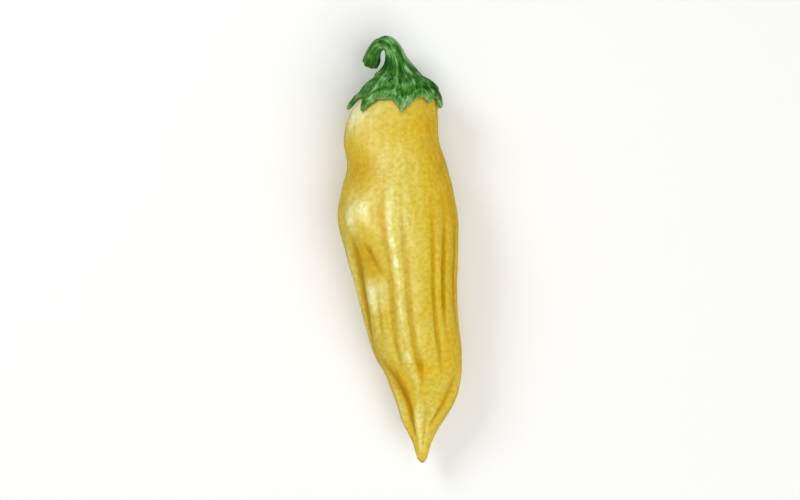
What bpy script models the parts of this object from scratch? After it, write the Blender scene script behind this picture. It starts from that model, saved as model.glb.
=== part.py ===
"""A ripe lemon drop chili pepper, as picked: one yellow pod with its green calyx and stalk.

It lies on its side. +Y runs along the pod to the stalk, +X is the pod's right seen from above, and
+Z is up. The origin is on the small flat spot that the pod rests on, under its weight.
"""

import bmesh
import bpy
import numpy as np

MM = 0.001

# Driving dimensions, in millimetres. "Drop" is the distance from the pod's crown towards its tip.
CROWN_TO_REST = 31.0  # from the crown to the middle of the flat spot
TABLE_HEIGHT = 0.0  # the pod is pressed flat at this height
POD_SIDES = 72
POD_RINGS = 60
RELIEF_FADE = 5.0  # relief dies away where the pod is narrower than this, half across

# Outline of the pod: drop, left edge, right edge, underside, top side.
POD_OUTLINE = (
    (0.0, -1.5, -1.5, 10.6, 10.6),
    (0.16, -3.8, 1.6, 7.7, 13.5),
    (0.54, -5.1, 4.1, 5.4, 15.9),
    (1.24, -6.1, 5.6, 3.8, 17.4),
    (2.48, -7.4, 6.6, 2.8, 18.4),
    (4.2, -8.7, 7.0, 2.2, 19.0),
    (7.7, -10.8, 7.3, 1.5, 19.6),
    (12.3, -11.9, 7.5, 0.8, 20.2),
    (17.8, -11.2, 9.2, 0.3, 20.6),
    (22.4, -12.3, 10.4, -0.1, 21.3),
    (27.9, -13.1, 11.4, -0.4, 22.2),
    (34.8, -11.7, 11.5, -0.45, 22.0),
    (42.6, -9.3, 11.2, -0.2, 20.6),
    (50.4, -7.6, 11.7, 0.3, 18.9),
    (55.8, -5.9, 12.2, 0.9, 17.4),
    (61.2, -3.1, 12.0, 1.7, 15.7),
    (65.9, -1.3, 10.8, 2.8, 13.6),
    (70.5, 0.3, 8.0, 4.0, 11.3),
    (74.4, 2.2, 6.0, 5.4, 9.5),
    (76.8, 2.9, 5.3, 6.2, 8.8),
    (77.8, 3.3, 4.95, 6.65, 8.35),
    (78.4, 4.15, 4.15, 7.5, 7.5),
)

# Long furrows: drop and angle where one starts, the same where it ends, depth, half width.
# Angles are in degrees round the pod: 0 at its right, 90 on top, 180 at its left. A depth below
# zero makes a ridge.
FURROWS = (
    (20.0, 94.5, 66.0, 101.5, -0.3, 5.0),
    (22.0, 105.0, 50.0, 107.0, 0.06, 5.0),
    (38.0, 108.0, 62.0, 117.0, 0.22, 5.5),
    (24.0, 85.0, 50.0, 88.0, 0.05, 4.5),
    (38.0, 89.0, 64.0, 94.0, 0.24, 5.5),
    (18.0, 53.0, 67.0, 62.0, 0.28, 5.0),
    (20.0, 75.0, 66.0, 78.0, -0.12, 7.0),
    (24.0, 41.0, 55.0, 45.0, 0.36, 5.0),
    (22.0, 20.0, 56.0, 17.0, 0.35, 7.0),
    (57.0, 26.0, 75.0, 80.0, 0.4, 9.0),
    (58.0, 12.0, 73.0, 50.0, -0.25, 8.0),
    (28.0, 141.0, 58.0, 165.0, 0.7, 8.0),
    (32.0, 160.0, 50.0, 174.0, -0.25, 6.0),
    (54.0, 160.0, 76.0, 112.0, 0.7, 11.0),
    (18.0, 196.0, 60.0, 204.0, 0.7, 8.0),
    (44.0, 222.0, 68.0, 216.0, 0.5, 8.0),
    (16.0, 332.0, 62.0, 322.0, 0.7, 8.0),
    (42.0, 305.0, 68.0, 311.0, 0.5, 8.0),
    (48.0, 250.0, 73.0, 258.0, 0.5, 11.0),
    (50.0, 284.0, 70.0, 276.0, 0.4, 9.0),
)

FURROW_FADE = 0.36  # share of a furrow's length in which it grows to its depth

# Swellings and, below zero, dents: drop, angle, height, reach along, reach round in degrees.
SWELLINGS = (
    (8.0, 142.0, 0.5, 4.0, 26.0),
    (18.2, 141.0, -0.5, 3.0, 24.0),
    (27.6, 132.0, 0.6, 4.4, 17.0),
    (36.4, 131.0, -0.65, 3.6, 16.0),
    (44.6, 133.0, 0.4, 3.0, 13.0),
    (33.0, 96.0, 0.2, 12.0, 9.0),
    (54.0, 105.0, 0.3, 10.0, 9.0),
    (38.0, 50.0, 0.2, 12.0, 6.5),
    (58.3, 90.0, -0.3, 2.3, 9.0),
    (14.0, 300.0, 0.4, 5.0, 24.0),
    (24.0, 213.0, 0.5, 5.0, 18.0),
    (24.0, 345.0, -0.4, 4.0, 18.0),
    (44.0, 332.0, 0.4, 6.0, 14.0),
    (55.0, 236.0, 0.4, 5.0, 15.0),
)

# Calyx: each tooth has its angle round the pod, its length, its half width in degrees, how far its
# tip stands off the pod, and the share of its rib's height that runs on along the stalk.
TEETH = (
    (12.0, 2.0, 12.0, 0.35, 1.0),
    (42.0, 1.2, 11.0, 0.05, 0.0),
    (80.5, 3.0, 20.0, 0.05, 1.0),
    (133.0, 2.85, 17.0, 0.1, 1.0),
    (175.0, 2.5, 12.0, 0.5, 0.6),
    (215.0, 1.6, 13.0, 0.15, 1.0),
    (254.0, 2.2, 15.0, 0.0, 0.0),
    (292.0, 1.4, 12.0, 0.0, 1.0),
    (333.0, 2.3, 14.0, 0.2, 0.5),
)
# Where the calyx is cut between one tooth's tip and the next, closer near the tips.
TOOTH_STEPS = (0.0, 0.07, 0.15, 0.27, 0.5, 0.73, 0.85, 0.93)
# Where its rings lie, from the stalk's flare at 0 to the margin at 1.
OUTSIDE_STEPS = (0.0, 0.14, 0.28, 0.44, 0.62, 0.82, 1.0)
UNDERSIDE_STEPS = (1.0, 0.66, 0.33, 0.0)
TOOTH_HOLLOW = 1.5  # 1 gives a tooth straight sides, more gives hollow ones
CALYX_TOP_DROP = 0.5  # where the stalk's flare runs into the calyx
CALYX_MARGIN_DROP = 3.9  # the notches between the teeth
# Where the margin hangs lower between its teeth: angle, how much, half width in degrees.
MARGIN_DIP = (108.0, 0.65, 22.0)
CALYX_CLEARANCE = 0.3  # between the calyx's underside and the pod
CALYX_OUTSIDE = 1.1  # from the pod to the calyx's outside, at the shoulder
CALYX_EDGE = 0.85  # the same at the margin
RIB_HEIGHT = 0.24
RIB_HALF_WIDTH = 5.0  # degrees
RIB_LOSS = 0.4  # share of its height that a rib loses by the margin
STALK_RIB_HALF_WIDTH = 15.0  # degrees, round the stalk
STALK_RIB_SINK = 0.4  # share of a rib's height that the stalk is sunk between its ribs
STALK_RIB_RINGS = 5.0  # rings of the stalk in which the calyx's ribs turn into the stalk's

# Stalk: its centre line from the free end to the crown (x, y, z), then the radii along it.
STALK_LINE = (
    (-6.3, 34.9, 6.6),
    (-5.9, 36.4, 8.2),
    (-5.1, 37.8, 9.8),
    (-3.9, 38.6, 11.2),
    (-2.7, 38.3, 12.1),
    (-1.8, 36.9, 12.3),
    (-1.3, 35.2, 11.9),
    (-1.0, 33.5, 11.2),
    (-0.9, 31.9, 10.7),
)
STALK_RADII = (1.8, 1.45, 1.3, 1.3, 1.45, 1.75, 2.25, 3.3, 5.2)
STALK_RINGS = 20

# Steps, in millimetres and degrees, by which a surface's or a line's direction is measured.
SMALL_STEP = 0.02
SMALL_TURN = 0.5

POD_COLOUR = (0.74, 0.50, 0.05, 1.0)
POD_ROUGHNESS = 0.3
CALYX_COLOUR = (0.09, 0.25, 0.05, 1.0)
CALYX_ROUGHNESS = 0.55


def ease(value):
    """0 below 0, 1 above 1, and a smooth rise between."""
    value = np.clip(value, 0.0, 1.0)
    return value * value * (3.0 - 2.0 * value)


def turn_between(angle, other):
    """Degrees from other to angle, the short way round."""
    return (angle - other + 180.0) % 360.0 - 180.0


def curve_through(points, knots, at):
    """Points on the smooth curve that passes through the given points at their knots."""
    slopes = np.gradient(points, knots, axis=0)
    low = np.clip(np.searchsorted(knots, at, side="right") - 1, 0, len(knots) - 2)
    span = knots[low + 1] - knots[low]
    part = ((at - knots[low]) / span)[:, None]
    span = span[:, None]
    return (
        points[low] * (2 * part**3 - 3 * part**2 + 1)
        + slopes[low] * span * (part**3 - 2 * part**2 + part)
        + points[low + 1] * (3 * part**2 - 2 * part**3)
        + slopes[low + 1] * span * (part**3 - part**2)
    )


def run_along(points):
    """Distance along a line of points, starting at 0."""
    steps = np.linalg.norm(np.diff(points, axis=0), axis=1)
    return np.concatenate([[0.0], np.cumsum(steps)])


def mirrored_past_poles(rows):
    """The outline with one more row past each end, so that it crosses its poles squarely."""
    swapped = rows[:, [0, 2, 1, 4, 3]]
    return np.vstack([swapped[1], rows, swapped[-2]])


OUTLINE = mirrored_past_poles(np.array(POD_OUTLINE))
OUTLINE_KNOTS = run_along(
    np.column_stack([OUTLINE[:, 0], (OUTLINE[:, 2] - OUTLINE[:, 1]) / 2])
)
CROWN_KNOT, TIP_KNOT = OUTLINE_KNOTS[1], OUTLINE_KNOTS[-2]


def relief(drop, angle, half_width):
    """How far the furrows and swellings move the pod's surface outwards."""
    height = np.zeros_like(drop)
    for start, start_angle, end, end_angle, depth, width in FURROWS:
        part = (drop - start) / (end - start)
        centre = start_angle + (end_angle - start_angle) * np.clip(part, 0.0, 1.0)
        across = turn_between(angle, centre) / width
        strength = ease(part / FURROW_FADE) * ease((1.0 - part) / FURROW_FADE)
        height -= depth * strength * np.exp(-(across**2))
    for middle, centre, rise, reach, width in SWELLINGS:
        across = turn_between(angle, centre) / width
        along = (drop - middle) / reach
        height += rise * np.exp(-(across**2) - along**2)
    return height * ease(half_width / RELIEF_FADE)


def pod_surface(knot, angle):
    """Points of the pod's skin, in millimetres, at a knot along its outline and an angle round it."""
    knot, angle = np.broadcast_arrays(np.asarray(knot, float), np.asarray(angle, float))
    drop, left, right, under, over = curve_through(OUTLINE, OUTLINE_KNOTS, knot).T
    half_width, half_height = (right - left) / 2, (over - under) / 2
    rise = relief(drop, angle, half_width)
    turn = np.radians(angle)
    return np.column_stack(
        [
            (left + right) / 2 + (half_width + rise) * np.cos(turn),
            CROWN_TO_REST - drop,
            (under + over) / 2 + (half_height + rise) * np.sin(turn),
        ]
    )


def lifted(knot, angle, height):
    """Points that stand off the pod's skin by a height, square to it."""
    along = pod_surface(knot + SMALL_STEP, angle) - pod_surface(knot - SMALL_STEP, angle)
    across = pod_surface(knot, angle + SMALL_TURN) - pod_surface(knot, angle - SMALL_TURN)
    normal = np.cross(across, along)
    normal /= np.linalg.norm(normal, axis=1)[:, None]
    return pod_surface(knot, angle) + normal * np.asarray(height)[:, None]


def knot_at_drop(drop):
    """The knot where the outline reaches a drop, below the crown."""
    knots = np.arange(CROWN_KNOT, TIP_KNOT, SMALL_STEP)
    drops = curve_through(OUTLINE, OUTLINE_KNOTS, knots)[:, 0]
    return np.interp(drop, np.maximum.accumulate(drops), knots)


def pod_rings():
    """Rings of points from the crown to the tip, pressed flat where the pod rests."""
    angles = np.arange(POD_SIDES) * 360.0 / POD_SIDES
    knots = np.linspace(CROWN_KNOT, TIP_KNOT, POD_RINGS + 2)
    rings = [pod_surface(knot, angles) for knot in knots[1:-1]]
    ends = [pod_surface([knot], [0.0])[0] for knot in (CROWN_KNOT, TIP_KNOT)]
    for ring in rings:
        ring[:, 2] = np.maximum(ring[:, 2], TABLE_HEIGHT)
    return ends[0], rings, ends[1]


def tooth_angles():
    """Angles round the calyx, with one on each tooth's tip."""
    tips = [tooth[0] for tooth in TEETH]
    angles = []
    for tip, following in zip(tips, tips[1:] + [tips[0] + 360.0]):
        angles += [tip + (following - tip) * step for step in TOOTH_STEPS]
    return np.array(angles)


def tooth_shape(angle):
    """How far the calyx's margin runs down at an angle, and how far it stands off there."""
    middle, dip, width = MARGIN_DIP
    reach = dip * np.exp(-((turn_between(angle, middle) / width) ** 2))
    flare = np.zeros_like(angle)
    for tip, length, width, stand_off, _ in TEETH:
        share = np.clip(1.0 - np.abs(turn_between(angle, tip)) / width, 0.0, 1.0)
        reach += length * share**TOOTH_HOLLOW
        flare += stand_off * share
    return reach, flare


def rib_shape(angle, on_stalk=0.0):
    """Height of the ribs at an angle: on the calyx at 0, and along the stalk at 1."""
    half_width = RIB_HALF_WIDTH + (STALK_RIB_HALF_WIDTH - RIB_HALF_WIDTH) * on_stalk
    height = np.zeros_like(angle)
    for tip, _, _, _, stalk_share in TEETH:
        strength = 1.0 + (stalk_share - 1.0) * on_stalk
        height += strength * np.exp(-((turn_between(angle, tip) / half_width) ** 2))
    return (height - STALK_RIB_SINK * on_stalk) * RIB_HEIGHT


def stalk_rings(angles):
    """Rings square to the stalk's centre line, from its free end to its flare."""
    line = np.array(STALK_LINE)
    knots = run_along(line)
    at = np.linspace(0.0, knots[-1], STALK_RINGS + 1)[:-1]
    centres = curve_through(line, knots, at)
    radii = curve_through(np.array(STALK_RADII)[:, None], knots, at)[:, 0]
    ahead = curve_through(line, knots, at + SMALL_STEP)
    ahead -= curve_through(line, knots, at - SMALL_STEP)
    ahead /= np.linalg.norm(ahead, axis=1)[:, None]
    side = np.array([1.0, 0.0, 0.0])
    sides = []
    for direction in ahead[::-1]:
        side = side - direction * side.dot(direction)
        side = side / np.linalg.norm(side)
        sides.append(side)
    turn = np.radians(angles)[:, None]
    rings = []
    for index, (centre, radius, direction, side) in enumerate(
        zip(centres, radii, ahead, sides[::-1])
    ):
        up = np.cross(direction, side)
        on_stalk = min(1.0, (STALK_RINGS - 1 - index) / STALK_RIB_RINGS)
        reach = radius + rib_shape(angles, on_stalk)[:, None]
        rings.append(centre + reach * (np.cos(turn) * side + np.sin(turn) * up))
    return centres[0], rings


def calyx_rings(angles):
    """Rings down the calyx's outside, round its toothed margin and up its underside."""
    reach, flare = tooth_shape(angles)
    margin = knot_at_drop(CALYX_MARGIN_DROP + reach)
    ribs = rib_shape(angles)
    top = knot_at_drop(CALYX_TOP_DROP)
    rings = []
    for part in OUTSIDE_STEPS:
        knots = top + (margin - top) * part
        height = CALYX_OUTSIDE + (CALYX_EDGE - CALYX_OUTSIDE) * part + flare * part**3
        rings.append(lifted(knots, angles, height + ribs * (1.0 - RIB_LOSS * part)))
    for part in UNDERSIDE_STEPS:
        knots = top + (margin - top) * part
        rings.append(lifted(knots, angles, CALYX_CLEARANCE + flare * part**3))
    below = pod_surface([CROWN_KNOT], [0.0])[0] + (0.0, CALYX_CLEARANCE, 0.0)
    return rings, below


def solid(name, first, rings, last, colour, roughness):
    """One closed mesh object from a pole, rings of points and another pole, in millimetres."""
    work = bmesh.new()
    loops = [[work.verts.new(point * MM) for point in ring] for ring in rings]
    count = len(loops[0])
    for upper, lower in zip(loops, loops[1:]):
        for i in range(count):
            j = (i + 1) % count
            work.faces.new((upper[i], upper[j], lower[j], lower[i]))
    for pole, loop in ((first, loops[0][::-1]), (last, loops[-1])):
        centre = work.verts.new(pole * MM)
        for i in range(count):
            work.faces.new((centre, loop[i], loop[(i + 1) % count]))
    mesh = bpy.data.meshes.new(name)
    work.to_mesh(mesh)
    work.free()
    mesh.shade_smooth()
    material = bpy.data.materials.new(name)
    material.use_nodes = True
    shader = material.node_tree.nodes["Principled BSDF"]
    shader.inputs["Base Color"].default_value = colour
    shader.inputs["Roughness"].default_value = roughness
    shader.inputs["Metallic"].default_value = 0.0
    mesh.materials.append(material)
    thing = bpy.data.objects.new(name, mesh)
    bpy.context.scene.collection.objects.link(thing)
    return thing


def make_pod():
    """The fruit: a lobed, furrowed cone with a domed crown and a blunt tip."""
    crown, rings, tip = pod_rings()
    return solid("pod", crown, rings, tip, POD_COLOUR, POD_ROUGHNESS)


def make_calyx_and_stalk():
    """The green cap with its ribs and teeth, and the stalk that swells into it."""
    angles = tooth_angles()
    end, stalk = stalk_rings(angles)
    calyx, below = calyx_rings(angles)
    rings = stalk + calyx
    return solid("calyx_and_stalk", end, rings, below, CALYX_COLOUR, CALYX_ROUGHNESS)


def main():
    for thing in list(bpy.data.objects):
        bpy.data.objects.remove(thing)
    make_pod()
    make_calyx_and_stalk()


main()
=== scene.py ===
"""The looks of a ripe lemon drop chili pepper that lies on its side: its skin, calyx and stalk.

The pepper lies along Y with its stalk towards +Y, its right towards +X and +Z up. The origin is on
the small flat spot that it rests on. "Drop" is the distance from the pod's crown towards its tip,
and angles run round the pod from 0 at its right, over 90 on top, to 180 at its left.
"""

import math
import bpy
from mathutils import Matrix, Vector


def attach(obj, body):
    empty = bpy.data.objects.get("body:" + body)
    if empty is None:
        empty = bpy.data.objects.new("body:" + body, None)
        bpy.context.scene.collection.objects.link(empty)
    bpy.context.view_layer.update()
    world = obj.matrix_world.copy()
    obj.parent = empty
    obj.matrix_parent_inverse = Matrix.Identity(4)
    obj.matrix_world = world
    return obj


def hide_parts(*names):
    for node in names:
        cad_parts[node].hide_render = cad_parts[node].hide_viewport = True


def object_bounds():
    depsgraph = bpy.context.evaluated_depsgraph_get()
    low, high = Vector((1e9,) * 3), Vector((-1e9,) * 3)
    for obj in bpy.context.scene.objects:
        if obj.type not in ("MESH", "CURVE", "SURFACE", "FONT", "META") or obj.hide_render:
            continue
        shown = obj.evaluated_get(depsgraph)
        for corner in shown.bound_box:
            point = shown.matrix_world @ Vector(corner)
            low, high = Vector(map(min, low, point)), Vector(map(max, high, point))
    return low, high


bl_info = {
    "name": "Lemon Drop Chili Pepper",
    "version": (1, 0, 0),
    "blender": (4, 5, 0),
    "location": "View3D > Sidebar > Pepper",
    "description": "Models and paints a ripe yellow chili pepper with its calyx and stalk",
    "category": "Object",
}

import bpy
import numpy as np
from bpy.props import FloatProperty, FloatVectorProperty, PointerProperty
from mathutils import Vector, noise

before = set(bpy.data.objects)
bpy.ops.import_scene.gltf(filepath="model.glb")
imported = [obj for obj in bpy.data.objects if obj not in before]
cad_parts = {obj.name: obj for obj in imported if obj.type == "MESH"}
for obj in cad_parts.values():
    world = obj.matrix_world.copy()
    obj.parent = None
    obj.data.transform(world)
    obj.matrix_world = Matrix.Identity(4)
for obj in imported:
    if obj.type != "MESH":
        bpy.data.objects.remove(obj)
CAD_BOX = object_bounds()

MM = 0.001
BODY = "root"

# Form of the pod, in millimetres
CROWN_TO_REST = 31.0
POD_SIDES = 72
POD_RINGS = 68
# Half width of the pod from which its relief has its full height
RELIEF_FADE = 5.0
# Share of a furrow's length over which it deepens at each end
FURROW_FADE = 0.36
# How fast the ripples change, for each radian round the pod and each millimetre along it
RIPPLE_ROUND = 2.6
RIPPLE_ALONG = 0.055
# How fast the dimples change, for each millimetre
DIMPLE_SCALE = 0.22
# A full crest stands this many millimetres above the skin this many degrees to both its sides;
# crests get a painted highlight and hollows painted shade.
CREST_REACH = 7.0
CREST_FULL = 0.22
# Depth at which the skin has a furrow's full painted shade
SUNK_FULL = 0.7
# Half width of the painted shadow, in brown, that the calyx's margin casts on the pod
CALYX_SHADOW_WIDTH = 0.45
# Drop at which the scar at the tip starts, and where it is full
SCAR_DROPS = (77.7, 78.2)

# Outline of the pod: drop, left edge, right edge, underside, top side
POD_OUTLINE = (
    (0.0, -1.5, -1.5, 10.6, 10.6),
    (0.16, -3.8, 1.6, 7.7, 13.5),
    (0.54, -5.1, 4.1, 5.4, 15.9),
    (1.24, -6.1, 5.6, 3.8, 17.4),
    (2.48, -7.4, 6.6, 2.8, 18.4),
    (4.2, -8.7, 7.0, 2.2, 19.0),
    (7.7, -10.8, 7.3, 1.5, 19.6),
    (12.3, -11.9, 7.5, 0.8, 20.2),
    (17.8, -11.2, 9.2, 0.3, 20.6),
    (22.4, -12.3, 10.4, -0.1, 21.3),
    (27.9, -13.1, 11.4, -0.4, 22.2),
    (34.8, -11.7, 11.5, -0.45, 22.0),
    (42.6, -9.3, 11.2, -0.2, 20.6),
    (50.4, -7.6, 11.7, 0.3, 18.9),
    (55.8, -5.9, 12.2, 0.9, 17.4),
    (61.2, -3.1, 12.0, 1.7, 15.7),
    (65.9, -1.3, 10.8, 2.8, 13.6),
    (70.5, 0.3, 8.0, 4.0, 11.3),
    (74.4, 2.2, 6.0, 5.4, 9.5),
    (76.8, 2.9, 5.3, 6.2, 8.8),
    (77.8, 3.3, 4.95, 6.65, 8.35),
    (78.4, 4.15, 4.15, 7.5, 7.5),
)

# Long furrows: drop and angle where one starts, where it ends, depth, half width in degrees;
# a depth below zero makes a ridge
FURROWS = (
    (20.0, 94.5, 66.0, 101.5, -0.3, 5.0),
    (22.0, 105.0, 50.0, 107.0, 0.06, 5.0),
    (38.0, 108.0, 62.0, 117.0, 0.22, 5.5),
    (24.0, 85.0, 50.0, 88.0, 0.05, 4.5),
    (38.0, 89.0, 64.0, 94.0, 0.24, 5.5),
    (18.0, 53.0, 67.0, 62.0, 0.28, 5.0),
    (20.0, 75.0, 66.0, 78.0, -0.12, 7.0),
    (24.0, 41.0, 55.0, 45.0, 0.36, 5.0),
    (22.0, 20.0, 56.0, 17.0, 0.35, 7.0),
    (57.0, 26.0, 75.0, 80.0, 0.4, 9.0),
    (58.0, 12.0, 73.0, 50.0, -0.25, 8.0),
    (28.0, 141.0, 58.0, 165.0, 0.7, 8.0),
    (32.0, 160.0, 50.0, 174.0, -0.25, 6.0),
    (54.0, 160.0, 76.0, 112.0, 0.7, 11.0),
    (18.0, 196.0, 60.0, 204.0, 0.7, 8.0),
    (44.0, 222.0, 68.0, 216.0, 0.5, 8.0),
    (16.0, 332.0, 62.0, 322.0, 0.7, 8.0),
    (42.0, 305.0, 68.0, 311.0, 0.5, 8.0),
    (48.0, 250.0, 73.0, 258.0, 0.5, 11.0),
    (50.0, 284.0, 70.0, 276.0, 0.4, 9.0),
)

# Fine creases that the solid pod doesn't have, in the same form
CREASES = (
    (21.0, 94.7, 65.0, 101.5, -0.08, 3.0),
    (22.0, 76.0, 44.0, 72.0, 0.07, 4.0),
    (30.0, 53.5, 62.0, 61.5, 0.1, 2.6),
    (34.0, 43.5, 49.0, 44.5, 0.2, 2.6),
    (24.0, 31.0, 64.0, 43.0, -0.12, 4.5),
    (31.5, 134.0, 42.0, 111.0, 0.2, 4.0),
    (39.0, 124.0, 56.0, 133.0, 0.16, 3.5),
    (38.0, 113.0, 53.0, 121.0, -0.1, 4.0),
    (38.0, 132.0, 53.0, 145.0, -0.12, 4.0),
    (64.0, 108.0, 77.8, 111.0, -0.2, 9.0),
    (64.0, 90.0, 77.8, 76.0, 0.2, 8.0),
    (64.0, 74.0, 77.0, 66.0, -0.14, 9.0),
    (65.0, 129.0, 77.8, 126.0, 0.14, 9.0),
    (58.0, 176.0, 77.0, 142.0, -0.2, 9.0),
    (36.0, 188.0, 58.0, 190.0, 0.16, 4.0),
    (22.0, 228.0, 44.0, 232.0, 0.12, 4.0),
    (30.0, 345.0, 56.0, 340.0, 0.16, 4.0),
    (20.0, 316.0, 42.0, 313.0, 0.12, 3.5),
    (52.0, 236.0, 70.0, 238.0, 0.14, 6.0),
)

# Short wrinkles across the pod that its solid doesn't have: drop, angle, height, reach along, and
# reach round
WRINKLES = (
    (39.8, 131.0, -0.13, 0.9, 13.0),
    (41.6, 131.0, 0.16, 1.0, 12.0),
    (19.6, 146.0, -0.08, 1.1, 16.0),
    (58.0, 84.0, -0.1, 0.8, 8.0),
    (59.6, 85.0, 0.08, 0.9, 8.0),
    (33.0, 214.0, -0.1, 1.0, 12.0),
    (47.0, 300.0, -0.08, 1.0, 12.0),
)

# Beads along the pod's central ridge: drop, angle, and how pale each is painted, as a painted
# highlight
BEADS = (
    (22.6, 98.0, 0.4),
    (25.2, 98.8, 0.7),
    (27.8, 98.8, 0.9),
    (30.2, 98.8, 0.7),
    (33.4, 98.8, 2.3),
    (37.2, 97.6, 2.3),
    (41.2, 98.0, 0.5),
    (45.5, 99.3, 0.8),
    (48.2, 100.0, 0.8),
    (51.2, 100.7, 0.5),
    (56.2, 102.0, 1.6),
    (60.8, 104.0, 0.7),
)
# The ridge catches the light a little to the left of its middle, so the beads' swellings stand this
# many degrees to the right of their painted highlights.
BEAD_SHIFT = 3.5
BEAD_HEIGHT = 0.09
BEAD_REACH = 1.1
# Reach round the pod of a bead's swelling and of its painted highlight
BEAD_WIDTH = 4.5
BEAD_TINT_WIDTH = 2.6
BEAD_SWELLINGS = tuple(
    (drop, angle - BEAD_SHIFT, BEAD_HEIGHT, BEAD_REACH, BEAD_WIDTH)
    for drop, angle, _ in BEADS
)

# Least and most that the tints, painted highlights and painted shade, add up to
TINT_LIMITS = (-2.0, 2.3)
# Painted highlights and, below zero, painted shade on the skin, with some paler and deeper tones of
# its own: drop, angle, tint, reach along, reach round
PAINTED_LIGHT_AND_TINTS = tuple(
    (drop, angle, pale, BEAD_REACH, BEAD_TINT_WIDTH) for drop, angle, pale in BEADS
) + (
    (6.9, 147.0, 2.3, 4.2, 19.0),
    (4.5, 112.0, 0.3, 3.5, 20.0),
    (5.5, 64.0, 0.4, 2.5, 12.0),
    (13.0, 137.0, -0.4, 3.0, 12.0),
    (12.0, 84.0, 0.1, 7.0, 20.0),
    (17.0, 152.0, -0.6, 5.0, 16.0),
    (19.5, 130.0, -0.45, 4.0, 13.0),
    (25.3, 133.0, 0.7, 3.2, 13.0),
    (27.3, 122.0, 1.4, 2.8, 6.0),
    (28.4, 141.0, 1.7, 3.4, 7.0),
    (24.0, 88.0, 0.5, 12.0, 20.0),
    (29.0, 105.0, -0.6, 8.0, 3.2),
    (33.0, 94.0, -0.35, 7.0, 2.2),
    (20.0, 70.0, 0.4, 8.0, 9.0),
    (28.0, 88.0, 0.5, 8.0, 8.0),
    (40.0, 92.0, 0.45, 10.0, 16.0),
    (48.0, 86.0, 0.4, 9.0, 10.0),
    (36.5, 132.0, -0.65, 4.0, 11.0),
    (39.0, 122.0, -0.6, 1.6, 11.0),
    (42.3, 129.0, 1.0, 1.1, 14.0),
    (45.0, 134.0, 1.4, 3.2, 9.0),
    (44.5, 120.0, 0.7, 2.6, 8.0),
    (50.0, 104.0, 0.3, 9.0, 9.0),
    (30.0, 58.0, -0.4, 12.0, 5.0),
    (24.0, 174.0, 0.1, 10.0, 12.0),
    (37.0, 163.0, 0.6, 6.0, 8.0),
    (46.0, 172.0, 0.5, 6.0, 9.0),
    (14.0, 32.0, -0.75, 13.0, 28.0),
    (40.0, 30.0, -0.75, 20.0, 30.0),
    (51.5, 131.0, 0.45, 4.0, 10.0),
    (58.5, 89.0, -0.9, 1.5, 10.0),
    (60.5, 134.0, -1.3, 3.2, 11.0),
    (64.6, 126.0, -1.7, 3.0, 9.0),
    (68.4, 120.0, -1.9, 2.6, 8.0),
    (65.0, 153.0, 0.8, 3.0, 8.0),
    (69.5, 148.0, 0.8, 3.0, 9.0),
    (68.0, 90.0, 0.5, 3.5, 20.0),
    (72.0, 101.0, 1.5, 4.2, 11.0),
    (72.0, 73.0, 0.5, 3.2, 6.0),
    (72.0, 85.0, -0.8, 3.0, 4.5),
    (74.0, 146.0, -0.6, 3.0, 14.0),
    (74.0, 34.0, -0.6, 3.0, 14.0),
    (12.0, 230.0, 0.4, 8.0, 34.0),
    (34.0, 215.0, -0.5, 12.0, 22.0),
    (30.0, 270.0, 0.3, 14.0, 30.0),
    (46.0, 312.0, -0.5, 14.0, 26.0),
    (62.0, 250.0, -0.5, 9.0, 40.0),
)

# Swellings and, below zero, dents: drop, angle, height, reach along, reach round in degrees
SWELLINGS = (
    (8.0, 142.0, 0.5, 4.0, 26.0),
    (18.2, 141.0, -0.5, 3.0, 24.0),
    (27.6, 132.0, 0.6, 4.4, 17.0),
    (36.4, 131.0, -0.65, 3.6, 16.0),
    (44.6, 133.0, 0.4, 3.0, 13.0),
    (33.0, 96.0, 0.2, 12.0, 9.0),
    (54.0, 105.0, 0.3, 10.0, 9.0),
    (38.0, 50.0, 0.2, 12.0, 6.5),
    (58.3, 90.0, -0.3, 2.3, 9.0),
    (14.0, 300.0, 0.4, 5.0, 24.0),
    (24.0, 213.0, 0.5, 5.0, 18.0),
    (24.0, 345.0, -0.4, 4.0, 18.0),
    (44.0, 332.0, 0.4, 6.0, 14.0),
    (55.0, 236.0, 0.4, 5.0, 15.0),
)

# Teeth of the calyx: angle, length, half width in degrees, how far the tip stands off, and the
# rib's height on the stalk
TEETH = (
    (12.0, 2.0, 12.0, 0.35, 1.0),
    (42.0, 1.2, 11.0, 0.05, 0.0),
    (80.5, 3.0, 20.0, 0.05, 1.0),
    (133.0, 2.85, 17.0, 0.1, 1.0),
    (175.0, 2.5, 12.0, 0.5, 0.6),
    (215.0, 1.6, 13.0, 0.15, 1.0),
    (254.0, 2.2, 15.0, 0.0, 0.0),
    (292.0, 1.4, 12.0, 0.0, 1.0),
    (333.0, 2.3, 14.0, 0.2, 0.5),
)
# How much a tooth's sides curve inwards, 1 for straight
TOOTH_HOLLOW = 1.5
# Where the margin hangs lower between its teeth: angle, how much, half width in degrees
MARGIN_DIP = (108.0, 0.65, 22.0)
CALYX_SIDES = 72
CALYX_TOP_DROP = 0.5
CALYX_MARGIN_DROP = 3.9
# How far the middle of the calyx's underside stands off the pod's crown
UNDERSIDE_GAP = 0.05
# How low the calyx's underside may lie, above the floor
LOWEST_GREEN = 0.15
# Stations of the calyx: share of the way from the crown to the margin, and share of the height
# off the pod, up its underside, round its edge and back up its outside
CALYX_STATIONS = (
    (0.0, 0.05),
    (0.35, 0.05),
    (0.7, 0.05),
    (0.9, 0.05),
    (1.0, 0.12),
    (1.03, 0.5),
    (1.0, 0.88),
    (0.94, 1.0),
    (0.86, 1.0),
    (0.77, 1.0),
    (0.67, 1.0),
    (0.57, 1.0),
    (0.47, 1.0),
    (0.37, 1.0),
    (0.27, 1.0),
    (0.17, 1.0),
    (0.08, 1.0),
    (0.0, 1.0),
)
# The dent and the swelling that run round the calyx: share of the way from the crown to the margin,
# half width of the same kind, height
CALYX_BANDS = (
    (0.56, 0.08, -0.3),
    (0.8, 0.13, 0.2),
)
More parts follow.
